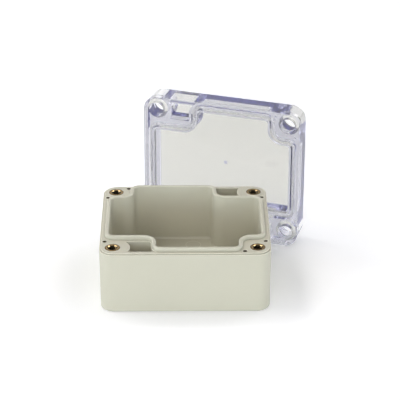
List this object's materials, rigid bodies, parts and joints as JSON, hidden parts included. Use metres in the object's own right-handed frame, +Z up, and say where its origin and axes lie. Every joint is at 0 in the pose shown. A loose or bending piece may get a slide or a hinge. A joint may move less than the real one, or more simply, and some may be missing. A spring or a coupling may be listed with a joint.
{
  "type": "plastic enclosure",
  "caption": "Sealed plastic enclosure taken apart: an open base with brass inserts and wall screw pockets, and its clear lid standing behind it.",
  "frame": {"origin": "centre of the base's underside", "axes": "+Z up out of the open base; X along the long sides and Y along the short sides of the base; the lid stands behind, towards +Y"},
  "size_m": [0.0808, 0.0828, 0.058],
  "materials": {
    "base_plastic": "warm pale grey moulded plastic, lightly textured outside",
    "clear_polycarbonate": "clear polycarbonate with a slight lavender tint, polished",
    "silicone": "translucent silicone, smooth and satin",
    "brass": "knurled and turned, bright",
    "steel": "stainless, lightly brushed"
  },
  "bodies": {
    "base": {"base": "base_plastic", "insert_front_left": "brass", "insert_front_right": "brass", "insert_back_left": "brass", "insert_back_right": "brass"},
    "lid": {"lid": "clear_polycarbonate", "gasket": "silicone"},
    "lid_screw_1": {"lid_screw_1": "steel"},
    "lid_screw_2": {"lid_screw_2": "steel"},
    "lid_screw_3": {"lid_screw_3": "steel"},
    "lid_screw_4": {"lid_screw_4": "steel"}
  },
  "joints": [
    {"name": "lid_lift", "type": "slide", "parent": "base", "child": "lid", "axis": [0, 0, 1], "range_m": [0, 0.065]},
    {"name": "lid_screw_1_lift", "type": "slide", "parent": "base", "child": "lid_screw_1", "axis": [0, 0, 1], "range_m": [0, 0.06]},
    {"name": "lid_screw_2_lift", "type": "slide", "parent": "base", "child": "lid_screw_2", "axis": [0, 0, 1], "range_m": [0, 0.06]},
    {"name": "lid_screw_3_lift", "type": "slide", "parent": "base", "child": "lid_screw_3", "axis": [0, 0, 1], "range_m": [0, 0.06]},
    {"name": "lid_screw_4_lift", "type": "slide", "parent": "base", "child": "lid_screw_4", "axis": [0, 0, 1], "range_m": [0, 0.06]}
  ]
}
